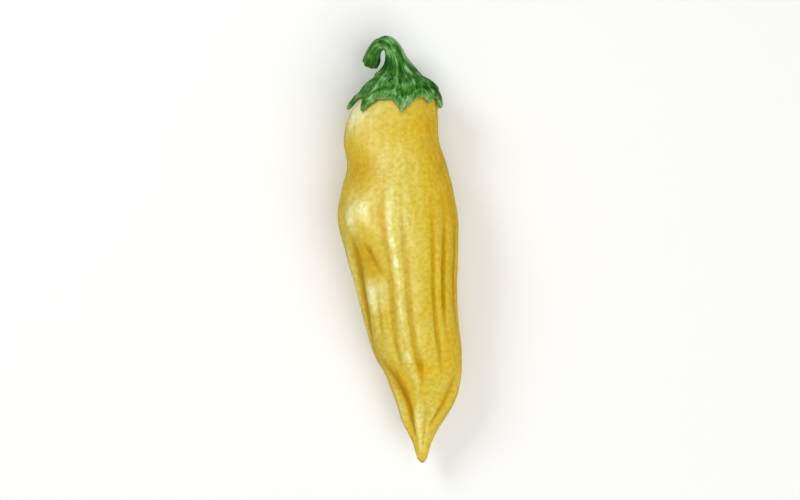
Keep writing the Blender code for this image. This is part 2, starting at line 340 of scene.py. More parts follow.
# Rings of the calyx's chain: where its outside starts and over how many rings, its margin, and
# the groove, darkened as painted shade, with its half width
OUTSIDE_RING = 5.0
OUTSIDE_FADE = 2.0
MARGIN_RING = 6.0
GROOVE_RING = 11.1
GROOVE_WIDTH = 0.9
# Half widths of the ribs and of the pale lines along them, which are partly painted highlight, in
# degrees: at the stalk's foot, at the margin, and on the stalk
RIB_WIDTHS = (8.0, 4.5, 18.0)
PALE_LINE_WIDTHS = (7.0, 4.5, 14.0)
# Share of its height that a rib loses on its way to the margin
RIB_LOSS = 0.3

# Stalk: its centre line from the crown to the free end, in millimetres, and its radii
STALK_LINE = (
    (-0.9, 31.9, 10.7),
    (-1.0, 33.5, 11.2),
    (-1.3, 35.2, 11.9),
    (-1.8, 36.9, 12.3),
    (-2.7, 38.3, 12.1),
    (-3.9, 38.6, 11.2),
    (-5.1, 37.8, 9.8),
    (-5.9, 36.4, 8.2),
    (-6.3, 34.9, 6.6),
)
STALK_RADII = (5.2, 3.3, 2.25, 1.75, 1.45, 1.3, 1.3, 1.45, 1.8)
STALK_RINGS = 24
# Rings over which the calyx turns into the stalk
STALK_BLEND = 5.0
# How far the stalk sinks between its ribs, as a share of their height, and its radius from which
# they have that height
STALK_SINK = 0.4
FULL_RIB_RADIUS = 1.3
# Rings over which the scar at the stalk's end fades in
END_SCAR_RINGS = 1.2
# Broken end, with a rounded rim and a sunk middle: distance past the last ring, share of its radius
STALK_END = ((0.14, 0.93), (0.2, 0.8), (0.14, 0.55), (0.05, 0.25))

# The green tissue's grain, for each radian round a ring and for each ring along
GRAIN_ROUND = 2.2
GRAIN_ALONG = 0.25
# How fast the calyx's puckers and the fine ones on it and on its stalk change for each
# millimetre, and the stalk's own for each unit of grain; the height of the last two as shares
CALYX_PUCKERS = 0.75
FINE_PUCKERS = 1.9
STALK_PUCKERS = 2.0
FINE_PUCKER_SHARE = 0.4
STALK_PUCKER_SHARE = 0.5

# Painted highlights and, below zero, painted shade on the calyx and stalk: x, y, tint, reach, in
# millimetres
GREEN_PAINTED_LIGHT_AND_TINTS = (
    (-2.2, 39.5, 1.0, 1.2),
    (0.9, 33.0, 0.5, 1.0),
    (0.4, 37.0, 0.3, 1.2),
    (-3.2, 33.8, -1.2, 1.7),
    (-0.2, 32.6, -0.3, 1.2),
    (-9.5, 27.4, -0.5, 1.8),
    (7.6, 28.0, -0.4, 1.6),
    (-3.6, 28.4, 0.25, 1.6),
    (2.0, 27.9, 0.3, 1.2),
)

# Streaks of the same along lines of places, painted highlight along the stalk's crests and painted
# shade beside them: tint, half width, and the places
GREEN_STREAKS_AND_PAINTED_LIGHT = (
    (
        0.6,
        0.32,
        ((-4.6, 37.6), (-3.3, 37.4), (-2.1, 36.4), (-1.2, 34.6), (-1.0, 32.2), (-1.0, 29.9)),
    ),
    (-0.8, 0.32, ((-1.3, 36.3), (-0.55, 34.4), (-0.4, 32.0), (-0.4, 29.9))),
    (0.6, 0.36, ((0.4, 34.4), (0.9, 33.2), (1.6, 31.8), (2.3, 30.2))),
    (-0.5, 0.4, ((1.3, 34.2), (2.6, 32.0), (3.2, 30.4))),
    (0.4, 0.35, ((3.4, 32.8), (4.6, 31.6), (5.8, 30.8))),
    (-0.8, 0.4, ((-4.4, 38.5), (-3.4, 38.3), (-2.6, 37.9))),
    (-0.6, 0.35, ((-1.5, 37.9), (-0.2, 36.0), (0.3, 34.6))),
    (0.4, 0.4, ((-1.2, 39.3), (0.1, 37.4), (1.7, 34.8))),
)

# Colour that the skin's fine mottling multiplies it by where it is darkest
MOTTLE_SHADE = (0.80, 0.77, 0.50)

# Noise in the skin and in the green, in changes for each metre or, where it follows the tissue's
# grain, for each unit of that
SKIN_STREAKS = 900.0
SKIN_PATCHES = 130.0
SKIN_MOTTLE = 1150.0
GREEN_PATCHES = 520.0
GRAIN_STREAKS = 3.2
GRAIN_FINE_STREAKS = 7.5
GRAIN_WRINKLES = 3.4

SUBDIVISIONS = 2
# Steps over which a curve's and a surface's direction are read, in knots and in degrees
KNOT_STEP = 0.02
ANGLE_STEP = 0.5
# How far a point may lie out of a ring's plane, in metres, and from its middle, as a share of
# its half size
RING_FLATNESS = 0.000005
RING_REACH = 1.01

# Lamps: name, place from the pepper's middle, width and length in metres, and what each gives
LAMPS = (
    ("overhead", (0.3, -0.3, 0.82), 0.9, 0.9, "fill"),
    ("key", (-0.32, 0.26, 0.42), 0.24, 0.24, "both"),
    ("strip", (-0.2, -0.06, 0.48), 0.05, 0.4, "gloss"),
    ("side", (-0.46, 0.08, 0.27), 0.3, 0.4, "gloss"),
)
FLOOR_SIZE = 6.0
SURROUND_STRENGTH = 0.3
PICTURE_SHAPE = 500.0 / 800.0
CLIP_START = 0.01


class PodSizes(bpy.types.PropertyGroup):
    """Sizes of the pod's skin that its solid leaves open."""

    crease_height: FloatProperty(
        name="Crease Height",
        description="How strongly the fine creases are cut, 1 as grown",
        default=1.0,
        min=0.0,
        max=2.0,
    )
    ripple_height: FloatProperty(
        name="Ripple Height",
        description="Height of the long, uneven ripples of the skin",
        default=0.00014,
        unit="LENGTH",
        precision=5,
    )
    dimple_height: FloatProperty(
        name="Dimple Height",
        description="Height of the shallow, rounded dimples of the skin",
        default=0.00016,
        unit="LENGTH",
        precision=5,
    )


class PodColours(bpy.types.PropertyGroup):
    """Colours of the ripe skin and of the highlights and shade painted on it."""

    flesh: FloatVectorProperty(
        name="Flesh",
        description="Yellow of the skin in the open",
        subtype="COLOR",
        size=3,
        default=(0.735, 0.55, 0.06),
    )
    # This golden yellow is painted shade, on the side away from the light and in the dents, and the
    # skin's deeper tone.
    shade_and_deep_tone: FloatVectorProperty(
        name="Riper",
        description="Golden yellow of the skin on its riper side",
        subtype="COLOR",
        size=3,
        default=(0.80, 0.485, 0.001),
    )
    # This ochre is painted shade, down in the furrows, dents and hollows.
    furrow_shade: FloatVectorProperty(
        name="Furrow",
        description="Ochre of the skin down in the furrows",
        subtype="COLOR",
        size=3,
        default=(0.52, 0.30, 0.001),
    )
    # This pale yellow is painted highlight, along the ridges and on lit spots, and the skin's paler
    # tone.
    highlight_and_pale_tone: FloatVectorProperty(
        name="Ridge",
        description="Pale yellow of the skin along the ridges",
        subtype="COLOR",
        size=3,
        default=(0.82, 0.73, 0.23),
    )
    # This pale green yellow is the palest painted highlight, on the shoulder, bulge and beads, and
    # a slight tone near the calyx.
    shoulder: FloatVectorProperty(
        name="Shoulder",
        description="Pale green yellow of the skin near the calyx",
        subtype="COLOR",
        size=3,
        default=(0.94, 0.91, 0.53),
    )
    # The scar's brown also paints the shadow along the calyx's margin.
    scar: FloatVectorProperty(
        name="Scar",
        description="Brown of the small scar at the tip",
        subtype="COLOR",
        size=3,
        default=(0.42, 0.20, 0.04),
    )


class CalyxSizes(bpy.types.PropertyGroup):
    """Sizes of the calyx and the stalk that their solid leaves open."""

    thickness: FloatProperty(
        name="Thickness",
        description="How far the calyx stands off the pod at the shoulder",
        default=0.0011,
        unit="LENGTH",
        precision=5,
    )
    edge: FloatProperty(
        name="Edge",
        description="How far the calyx stands off the pod at its margin",
        default=0.0008,
        unit="LENGTH",
        precision=5,
    )
    rib_height: FloatProperty(
        name="Rib Height",
        description="Height of the ribs that run from the stalk to the teeth",
        default=0.00028,
        unit="LENGTH",
        precision=5,
    )
    pucker_height: FloatProperty(
        name="Pucker Height",
        description="Height of the calyx's puckered surface",
        default=0.00012,
        unit="LENGTH",
        precision=5,
    )


class CalyxColours(bpy.types.PropertyGroup):
    """Colours of the calyx and the stalk and of the highlights and shade painted on them."""

    green: FloatVectorProperty(
        name="Green",
        description="Middle green of the calyx and the stalk",
        subtype="COLOR",
        size=3,
        default=(0.070, 0.235, 0.030),
    )
    # This dark green is also the painted shade of the calyx and stalk.
    deep_green_and_shade: FloatVectorProperty(
        name="Deep Green",
        description="Dark green between the ribs",
        subtype="COLOR",
        size=3,
        default=(0.007, 0.078, 0.003),
    )
    # This pale green is partly the ribs' and veins' own colour and partly painted highlight along
    # crests and on lit spots.
    rib: FloatVectorProperty(
        name="Rib",
        description="Pale green of the ribs and veins",
        subtype="COLOR",
        size=3,
        default=(0.30, 0.56, 0.26),
    )
    # This pale edge is a painted highlight along the calyx's margin.
    margin: FloatVectorProperty(
        name="Margin",
        description="Pale edge of the calyx",
        subtype="COLOR",
        size=3,
        default=(0.34, 0.46, 0.17),
    )
    scar: FloatVectorProperty(
        name="Scar",
        description="Tan of the stalk's broken end",
        subtype="COLOR",
        size=3,
        default=(0.50, 0.42, 0.22),
    )


class StageSettings(bpy.types.PropertyGroup):
    """The floor, the light and the camera."""

    floor_colour: FloatVectorProperty(
        name="Floor Colour",
        description="Colour of the plain floor",
        subtype="COLOR",
        size=3,
        default=(0.90, 0.90, 0.89),
    )
    key_power: FloatProperty(
        name="Key Power",
        description="Power of the main light, at the upper left",
        default=1.3,
        unit="POWER",
    )
    overhead_power: FloatProperty(
        name="Overhead Power",
        description="Power of the broad light overhead",
        default=6.85,
        unit="POWER",
    )
    strip_power: FloatProperty(
        name="Strip Power",
        description="Power of the long, narrow light overhead",
        default=2.2,
        unit="POWER",
    )
    side_power: FloatProperty(
        name="Side Power",
        description="Power of the small light low at the left",
        default=3.0,
        unit="POWER",
    )
    lens: FloatProperty(
        name="Lens",
        description="Focal length of the camera",
        default=120.0,
        unit="CAMERA",
    )
    view_height: FloatProperty(
        name="View Height",
        description="Height of the picture at the pepper",
        default=0.102,
        unit="LENGTH",
    )


def ease(value):
    """0 below 0, 1 above 1, and a smooth rise between."""
    value = np.clip(value, 0.0, 1.0)
    return value * value * (3.0 - 2.0 * value)


def turn_between(angle, other):
    """Degrees from other to angle, the short way round."""
    return (angle - other + 180.0) % 360.0 - 180.0


def curve_through(points, knots, at):
    """Points on the smooth curve that passes through the given points at their knots."""
    slopes = np.gradient(points, knots, axis=0)
    low = np.clip(np.searchsorted(knots, at, side="right") - 1, 0, len(knots) - 2)
    span = knots[low + 1] - knots[low]
    part = ((at - knots[low]) / span)[:, None]
    span = span[:, None]
    return (
        points[low] * (2 * part**3 - 3 * part**2 + 1)
        + slopes[low] * span * (part**3 - 2 * part**2 + part)
        + points[low + 1] * (3 * part**2 - 2 * part**3)
        + slopes[low + 1] * span * (part**3 - part**2)
    )


def run_along(points):
    """Distance along a line of points, starting at 0."""
    steps = np.linalg.norm(np.diff(points, axis=0), axis=1)
    return np.concatenate([[0.0], np.cumsum(steps)])


def mirrored_past_poles(rows):
    """The outline with one more row past each end, so that it crosses its poles squarely."""
    swapped = rows[:, [0, 2, 1, 4, 3]]
    return np.vstack([swapped[1], rows, swapped[-2]])


OUTLINE = mirrored_past_poles(np.array(POD_OUTLINE))
OUTLINE_KNOTS = run_along(
    np.column_stack([OUTLINE[:, 0], (OUTLINE[:, 2] - OUTLINE[:, 1]) / 2])
)
CROWN_KNOT, TIP_KNOT = OUTLINE_KNOTS[1], OUTLINE_KNOTS[-2]


def furrow_height(furrows, drop, angle):
    """How far a set of furrows moves the skin outwards, which is inwards for most."""
    height = np.zeros_like(drop)
    for start, start_angle, end, end_angle, depth, width in furrows:
        part = (drop - start) / (end - start)
        centre = start_angle + (end_angle - start_angle) * np.clip(part, 0.0, 1.0)
        across = turn_between(angle, centre) / width
        strength = ease(part / FURROW_FADE) * ease((1.0 - part) / FURROW_FADE)
        height -= depth * strength * np.exp(-(across**2))
    return height


def patch_sum(patches, drop, angle):
    """The sum of a set of soft-edged patches, such as swellings and dents."""
    height = np.zeros_like(drop)
    for middle, centre, rise, reach, width in patches:
        across = turn_between(angle, centre) / width
        along = (drop - middle) / reach
        height += rise * np.exp(-(across**2) - along**2)
    return height


def section(knot):
    """Drop, middle and half size across and up and down of the pod's section at a knot."""
    drop, left, right, under, over = curve_through(OUTLINE, OUTLINE_KNOTS, knot).T
    return drop, (left + right) / 2, (under + over) / 2, (right - left) / 2, (over - under) / 2


def relief(drop, angle, half_width, creases=0.0):
    """How far furrows, swellings and, by their share, creases move the skin outwards."""
    height = furrow_height(FURROWS, drop, angle) + patch_sum(SWELLINGS, drop, angle)
    if creases:
        height += creases * furrow_height(CREASES, drop, angle)
        height += creases * patch_sum(WRINKLES + BEAD_SWELLINGS, drop, angle)
    return height * ease(half_width / RELIEF_FADE)


def pod_surface(knot, angle, creases=0.0):
    """Points of the pod's skin at a knot along its outline and an angle round it."""
    knot, angle = np.broadcast_arrays(np.asarray(knot, float), np.asarray(angle, float))
    drop, middle_x, middle_z, half_width, half_height = section(knot)
    rise = relief(drop, angle, half_width, creases)
    turn = np.radians(angle)
    return np.column_stack(
        [
            middle_x + (half_width + rise) * np.cos(turn),
            CROWN_TO_REST - drop,
            middle_z + (half_height + rise) * np.sin(turn),
        ]
    )


def lifted(knot, angle, height):
    """Points that stand off the pod's skin by a height, square to it."""
    along = pod_surface(knot + KNOT_STEP, angle) - pod_surface(knot - KNOT_STEP, angle)
    across = pod_surface(knot, angle + ANGLE_STEP) - pod_surface(knot, angle - ANGLE_STEP)
    normal = np.cross(across, along)
    normal /= np.maximum(np.linalg.norm(normal, axis=1), 1e-9)[:, None]
    return pod_surface(knot, angle) + normal * np.asarray(height)[:, None]


def knot_at_drop(drop):
    """The knot where the outline reaches a drop, below the crown."""
    knots = np.arange(CROWN_KNOT, TIP_KNOT, KNOT_STEP)
    drops = section(knots)[0]
    return np.interp(drop, np.maximum.accumulate(drops), knots)


class Ring:
    """Where one ring of a chain stands: its centre, half sizes and direction, in millimetres."""

    def __init__(self, centre, half_width, half_height, ahead=(0.0, 1.0, 0.0)):
        self.centre = Vector(centre) * MM
        self.half_width = half_width * MM
        self.half_height = half_height * MM
        self.ahead = Vector(ahead)
        self.yaw = math.atan2(-ahead[0], ahead[1])
        self.pitch = math.asin(ahead[2])


def turn_selection(axis, angle, centre):
    """Turns what is selected by the right-hand rule, which the operator turns the other way."""
    if angle:
        bpy.ops.transform.rotate(value=-angle, orient_axis=axis, center_override=centre)


def extrude_ring(before, after):
    """Extrudes the selected ring to the next one's place, size and direction."""
    step = after.centre - before.centre
    bpy.ops.mesh.extrude_edges_move(TRANSFORM_OT_translate={"value": step})
    turn_selection("Z", -before.yaw, after.centre)
    turn_selection("X", -before.pitch, after.centre)
    wider = after.half_width / before.half_width
    higher = after.half_height / before.half_height
    bpy.ops.transform.resize(value=(wider, 1.0, higher), center_override=after.centre)
    turn_selection("X", after.pitch, after.centre)
    turn_selection("Z", after.yaw, after.centre)


def close_ring(piece, ring, sides):
    """Selects the points of an open ring by their place and closes it with a fan of faces."""
    bpy.ops.mesh.select_all(action="DESELECT")
    bpy.ops.object.mode_set(mode="OBJECT")
    reach = RING_REACH * max(ring.half_width, ring.half_height)
    chosen = 0
    for point in piece.data.vertices:
        away = point.co - ring.centre
        point.select = abs(away.dot(ring.ahead)) < RING_FLATNESS and away.length < reach
        chosen += point.select
    if chosen != sides:
        raise RuntimeError(f"{chosen} points of {piece.name} lie on a ring of {sides}")
    bpy.ops.object.mode_set(mode="EDIT")
    bpy.ops.mesh.edge_face_add()
    bpy.ops.mesh.poke()


def extruded_chain(name, sides, rings):
    """A closed skin, made from one circle that is extruded from ring to ring and closed."""
    first = rings[0]
    bpy.ops.object.select_all(action="DESELECT")
    bpy.ops.mesh.primitive_circle_add(
        vertices=sides,
        radius=first.half_width,
        location=first.centre,
        rotation=(math.radians(90.0), 0.0, 0.0),
    )
    piece = bpy.context.object
    piece.name = name
    piece.data.name = name
    bpy.ops.object.transform_apply(location=True, rotation=True, scale=True)
    bpy.ops.object.mode_set(mode="EDIT")
    bpy.ops.mesh.select_mode(type="VERT")
    bpy.ops.mesh.select_all(action="SELECT")
    taller = first.half_height / first.half_width
    bpy.ops.transform.resize(value=(1.0, 1.0, taller), center_override=first.centre)
    for before, after in zip(rings, rings[1:]):
        extrude_ring(before, after)
    close_ring(piece, first, sides)
    close_ring(piece, rings[-1], sides)
    bpy.ops.mesh.select_all(action="SELECT")
    bpy.ops.mesh.normals_make_consistent(inside=False)
    bpy.ops.object.mode_set(mode="OBJECT")
    return piece


def give_attribute(mesh, name, values):
    """Stores one number for each point of a mesh."""
    attribute = mesh.attributes.get(name) or mesh.attributes.new(name, "FLOAT", "POINT")
    attribute.data.foreach_set("value", np.asarray(values, np.float32))


def read_attribute(mesh, name):
    """The numbers that are stored for a mesh's points."""
    values = np.zeros(len(mesh.vertices), np.float32)
    mesh.attributes[name].data.foreach_get("value", values)
    return values.astype(float)


def subdivide_chain(piece, sides, ring_count):
    """Subdivides a chain; returns each point's place along its rings and angle round them."""
    mesh = piece.data
    index = np.arange(ring_count * sides)
    turn = np.radians(90.0 + 360.0 * (index % sides) / sides)
    give_attribute(mesh, "ring", np.append(index // sides, (-1.0, ring_count)))
    give_attribute(mesh, "east", np.append(np.cos(turn), (0.0, 0.0)))
    give_attribute(mesh, "up", np.append(np.sin(turn), (0.0, 0.0)))
    bpy.ops.object.modifier_add(type="SUBSURF")
    modifier = piece.modifiers[-1]
    modifier.levels = SUBDIVISIONS
    modifier.render_levels = SUBDIVISIONS
    bpy.ops.object.modifier_apply(modifier=modifier.name)
    bpy.ops.object.shade_smooth()
    ring = read_attribute(mesh, "ring")
    angle = np.degrees(np.arctan2(read_attribute(mesh, "up"), read_attribute(mesh, "east")))
    for name in ("ring", "east", "up"):
        mesh.attributes.remove(mesh.attributes[name])
    return ring, angle


def move_points(mesh, points):
    """Puts a mesh's points where they are given, in millimetres."""
    mesh.vertices.foreach_set("co", (points * MM).astype(np.float32).ravel())
    mesh.update()


def points_of(mesh):
    """The places of a mesh's points, in millimetres."""
    places = np.zeros(len(mesh.vertices) * 3, np.float32)
    mesh.vertices.foreach_get("co", places)
    return places.reshape(-1, 3).astype(float) / MM


def normals_of(mesh):
    """The directions that a mesh's points face."""
    normals = np.zeros(len(mesh.vertices) * 3, np.float32)
    mesh.vertex_normals.foreach_get("vector", normals)
    return normals.reshape(-1, 3).astype(float)


def streak_sum(streaks, points):
    """What streaks along lines add up to at points, seen from above."""
    total = np.zeros(len(points))
    for strength, width, line in streaks:
        apart = np.full(len(points), np.inf)
        for start, end in zip(line, line[1:]):
            start, way = np.array(start), np.subtract(end, start)
            share = np.clip((points[:, :2] - start).dot(way) / way.dot(way), 0.0, 1.0)
            foot = start + share[:, None] * way
            apart = np.minimum(apart, np.hypot(*(points[:, :2] - foot).T))
        total += strength * np.exp(-((apart / width) ** 2))
    return total


def spot_sum(spots, points):
    """What round, soft-edged spots add up to at points, seen from above."""
    total = np.zeros(len(points))
    for x, y, strength, reach in spots:
        apart = np.hypot(points[:, 0] - x, points[:, 1] - y)
        total += strength * np.exp(-((apart / reach) ** 2))
    return total


def noise_at(places, scale):
    """Smooth noise from -1 to 1 at each place, which changes over about 1 / scale."""
    scaled = places * scale
    return np.array([noise.noise(place) for place in scaled.tolist()])


def tooth_share(angle, tip, width):
    """How near an angle is to a tooth's tip: 1 there, falling evenly to 0 at the tooth's sides."""
    return np.clip(1.0 - np.abs(turn_between(angle, tip)) / width, 0.0, 1.0)


def margin_drop(angle):
    """The drop that the calyx's toothed margin reaches at an angle."""
    middle, dip, width = MARGIN_DIP
    reach = dip * np.exp(-((turn_between(angle, middle) / width) ** 2))
    for tip, length, width, _, _ in TEETH:
        reach += length * tooth_share(angle, tip, width) ** TOOTH_HOLLOW
    return CALYX_MARGIN_DROP + reach


def grow_pod(sizes):
    """The fruit: a lofted, furrowed cone with a domed crown and a blunt tip."""
    knots = np.linspace(CROWN_KNOT, TIP_KNOT, POD_RINGS + 2)
    rings = []
    for drop, x, z, half_width, half_height in zip(*section(knots[1:-1])):
        rings.append(Ring((x, CROWN_TO_REST - drop, z), half_width, half_height))
    pod = extruded_chain("pepper_pod", POD_SIDES, rings)
    ring, angle = subdivide_chain(pod, POD_SIDES, POD_RINGS)
    knot = np.interp(ring, np.arange(-1, POD_RINGS + 1), knots)

    move_points(pod.data, pod_surface(knot, angle, sizes.crease_height))
    drop, _, _, half_width, _ = section(knot)
    turn = np.radians(angle)
    round_it = np.column_stack(
        [RIPPLE_ROUND * np.cos(turn), drop * RIPPLE_ALONG, RIPPLE_ROUND * np.sin(turn)]
    )
    ripples = sizes.ripple_height / MM * noise_at(round_it, 1.0)
    points = points_of(pod.data)
    dimples = sizes.dimple_height / MM * noise_at(points, DIMPLE_SCALE)
    rise = (ripples + dimples) * ease(half_width / RELIEF_FADE)
    points += normals_of(pod.data) * rise[:, None]
    points[:, 2] = np.maximum(points[:, 2], 0.0)
    move_points(pod.data, points)

    # Crest and sunk measure the relief; the skin's colour paints highlight on its crests and shade
    # in its hollows.
    own = relief(drop, angle, half_width, 1.0)
    beside = relief(drop, angle - CREST_REACH, half_width, 1.0)
    beside += relief(drop, angle + CREST_REACH, half_width, 1.0)
    # Painted shadow along the calyx's margin.
    collar = np.exp(-(((drop - margin_drop(angle)) / CALYX_SHADOW_WIDTH) ** 2))
    give_attribute(pod.data, "crest", np.clip((own - beside / 2) / CREST_FULL, -1.0, 1.0))
    give_attribute(pod.data, "sunk", np.clip(-own / SUNK_FULL, 0.0, 1.0))
    # The tints paint highlights and shade on the skin.
    give_attribute(pod.data, "tint", np.clip(patch_sum(PAINTED_LIGHT_AND_TINTS, drop, angle), *TINT_LIMITS))
    give_attribute(pod.data, "drop", drop)
    give_attribute(pod.data, "collar", collar)
    return pod


def stalk_line():
    """Centres, radii and directions of the stalk's rings, from the crown to the free end."""
    line = np.array(STALK_LINE)
    knots = run_along(line)
    at = np.linspace(0.0, knots[-1], STALK_RINGS + 1)[1:]
    centres = curve_through(line, knots, at)
    radii = curve_through(np.array(STALK_RADII)[:, None], knots, at)[:, 0]
    ahead = curve_through(line, knots, at + KNOT_STEP)
    ahead -= curve_through(line, knots, at - KNOT_STEP)
    ahead /= np.linalg.norm(ahead, axis=1)[:, None]
    end, out = centres[-1], ahead[-1]
    for step, share in STALK_END:
        centres = np.vstack([centres, end + out * step])
        radii = np.append(radii, radii[STALK_RINGS - 1] * share)
        ahead = np.vstack([ahead, out])
    return centres, radii, ahead


def rib_height(angle, widths, part, on_stalk):
    """Height of the ribs, part of the way from the stalk's foot to the margin or on the stalk."""
    foot_width, margin_width, stalk_width = widths
    width = foot_width + (margin_width - foot_width) * part
    width = width + (stalk_width - foot_width) * on_stalk
    height = np.zeros_like(angle)
    for tip, _, _, _, stalk_share in TEETH:
        strength = 1.0 + (stalk_share - 1.0) * on_stalk
        height += strength * np.exp(-((turn_between(angle, tip) / width) ** 2))
    return height


def calyx_points(part, share, angle, sizes):
    """Points of the calyx at a station and an angle."""
    top = knot_at_drop(CALYX_TOP_DROP)
    margin = knot_at_drop(margin_drop(angle))
    knots = top + (margin - top) * part
    stand_off = np.zeros_like(angle)
    for tip, _, width, flare, _ in TEETH:
        stand_off += flare * tooth_share(angle, tip, width)
    thickness = (sizes.thickness + (sizes.edge - sizes.thickness) * part) / MM
    ribs = sizes.rib_height / MM * rib_height(angle, RIB_WIDTHS, part, 0.0)
    height = thickness + ribs * (1.0 - RIB_LOSS * part)
    for middle, width, rise in CALYX_BANDS:
        height = height + rise * math.exp(-(((part - middle) / width) ** 2))
    return lifted(knots, angle, height * share + stand_off * part**3)


def blend_rings(ring, ring_points, count):
    """Points between rings, on the smooth surface that the rings' points pull towards them."""
    low = np.floor(ring).astype(int)
    part = ring - low
    # Weights of a cubic B-spline
    weights = (
        (1 - part) ** 3 / 6,
        (3 * part**3 - 6 * part**2 + 4) / 6,
        (-3 * part**3 + 3 * part**2 + 3 * part + 1) / 6,
        part**3 / 6,
    )
    points = np.zeros((len(ring), 3))
    for number in range(-1, count + 1):
        for shift, weight in zip((-1, 0, 1, 2), weights):
            wanted = np.clip(low + shift, -1, count) == number
            if wanted.any():
                points[wanted] += weight[wanted, None] * ring_points(number, wanted)
    return points


def grow_calyx_and_stalk(sizes):
    """The green cap with its ribs and teeth, and the stalk that it swells from."""
    centres, radii, ahead = stalk_line()
    top = knot_at_drop(CALYX_TOP_DROP)
    margin = knot_at_drop(CALYX_MARGIN_DROP)
    rings = []
    for part, share in CALYX_STATIONS:
        drop, x, z, half_width, half_height = (
            value[0] for value in section(np.array([top + (margin - top) * part]))
        )
        off = sizes.thickness / MM * share
        centre = (x, CROWN_TO_REST - drop + off * (1.0 - part), z)
        rings.append(Ring(centre, half_width + off * part, half_height + off * part))
    for centre, radius, direction in zip(centres, radii, ahead):
        rings.append(Ring(centre, radius, radius, direction))
    piece = extruded_chain("pepper_calyx_and_stalk", CALYX_SIDES, rings)
    ring, angle = subdivide_chain(piece, CALYX_SIDES, len(rings))

    side = np.array([1.0, 0.0, 0.0])
    frames = []
    for direction in ahead:
        side = side - direction * side.dot(direction)
        side = side / np.linalg.norm(side)
        frames.append((side, np.cross(side, direction)))
    calyx_count = len(CALYX_STATIONS)
    ridge_height = sizes.rib_height / MM

    def ring_points(number, wanted):
        """Points of one ring of the chain, or of the pole before the first or after the last."""
        turns = angle[wanted]
        if number < 0:
            pole = pod_surface([CROWN_KNOT], [0.0])[0] + (0.0, UNDERSIDE_GAP, 0.0)
            return np.tile(pole, (len(turns), 1))
        if number < calyx_count:
            return calyx_points(*CALYX_STATIONS[number], turns, sizes)
        step = min(number - calyx_count, len(radii) - 1)
        if number - calyx_count >= len(radii):
            return np.tile(centres[-1], (len(turns), 1))
        across, up = frames[step]
        on_stalk = min(1.0, step / STALK_BLEND)
        ridges = rib_height(turns, RIB_WIDTHS, 0.0, on_stalk) - STALK_SINK * on_stalk
        reach = np.full(len(turns), radii[step])
        reach += ridge_height * ridges * min(1.0, radii[step] / FULL_RIB_RADIUS)
        radians = np.radians(turns)
        return centres[step] + reach[:, None] * (
            np.cos(radians)[:, None] * across + np.sin(radians)[:, None] * up
        )

    move_points(piece.data, blend_rings(ring, ring_points, len(rings)))
    along = np.clip(ring - calyx_count, 0.0, None)
    on_stalk = ease(along / STALK_BLEND)
    outside = ease((ring - OUTSIDE_RING) / OUTSIDE_FADE)
    points = points_of(piece.data)
    turn = np.radians(angle)
    grain = np.column_stack(
        [GRAIN_ROUND * np.cos(turn), ring * GRAIN_ALONG, GRAIN_ROUND * np.sin(turn)]
    )
    puckers = noise_at(points, CALYX_PUCKERS) * (1.0 - on_stalk)
    puckers += STALK_PUCKER_SHARE * noise_at(grain, STALK_PUCKERS) * on_stalk
    puckers += FINE_PUCKER_SHARE * noise_at(points, FINE_PUCKERS)
    rise = sizes.pucker_height / MM * puckers * outside
    points += normals_of(piece.data) * rise[:, None]
    points[:, 2] = np.maximum(points[:, 2], LOWEST_GREEN)
    move_points(piece.data, points)

    # Pale lines along the ribs, partly painted highlight on their crests.
    to_margin = np.clip((calyx_count - ring) / (calyx_count - MARGIN_RING), 0.0, 1.0)
    pale_lines = rib_height(angle, PALE_LINE_WIDTHS, to_margin, on_stalk)
    give_attribute(piece.data, "rib", np.clip(pale_lines, 0.0, 1.0) * outside)
    # The margin's pale edge is a painted highlight.
    give_attribute(piece.data, "margin", np.exp(-((ring - MARGIN_RING) ** 2)))
    give_attribute(piece.data, "stalk", on_stalk)
    # The groove below the neck gets painted shade.
    give_attribute(piece.data, "groove", np.exp(-(((ring - GROOVE_RING) / GROOVE_WIDTH) ** 2)))
    # The tints and streaks paint highlights and shade on the calyx and stalk.
    tint = streak_sum(GREEN_STREAKS_AND_PAINTED_LIGHT, points) + spot_sum(GREEN_PAINTED_LIGHT_AND_TINTS, points)
    give_attribute(piece.data, "tint", tint)
    past_end = ring - (calyx_count + STALK_RINGS)
    give_attribute(piece.data, "scar", ease(past_end / END_SCAR_RINGS + 1.0))
    way = piece.data.attributes.new("grain", "FLOAT_VECTOR", "POINT")
    way.data.foreach_set("vector", grain.astype(np.float32).ravel())
    return piece


class Wire:
    """A socket in a material, which Python's operators join to others through Math nodes."""

    def __init__(self, paint, socket):
        self.paint = paint
        self.socket = socket

    def math(self, operation, first, second=0.0, clamp=False):
        """A Math node's result."""
        return self.paint.node(
            "ShaderNodeMath", {"operation": operation, "use_clamp": clamp}, {0: first, 1: second}
        )

    def __add__(self, other):
        return self.math("ADD", self, other)

    def __radd__(self, other):
        return self.math("ADD", other, self)

    def __sub__(self, other):
        return self.math("SUBTRACT", self, other)

    def __rsub__(self, other):
        return self.math("SUBTRACT", other, self)

    def __mul__(self, other):
        return self.math("MULTIPLY", self, other)

    def __rmul__(self, other):
        return self.math("MULTIPLY", other, self)

    def __neg__(self):
        return self.math("MULTIPLY", self, -1.0)

    def clamped(self):
        """This, kept from 0 to 1."""
        return self.math("ADD", self, 0.0, clamp=True)

    def crested(self):
        """1 where this is a half, falling to 0 on both sides, so that noise turns into lines."""
        return 1.0 - self.math("ABSOLUTE", self * 2.0 - 1.0)

    def between(self, low, high):
        """0 where this is low or less, 1 where it is high or more, and a smooth rise between."""
        return self.paint.node(
            "ShaderNodeMapRange",
            {"interpolation_type": "SMOOTHSTEP"},
            {"Value": self, "From Min": low, "From Max": high},
        )


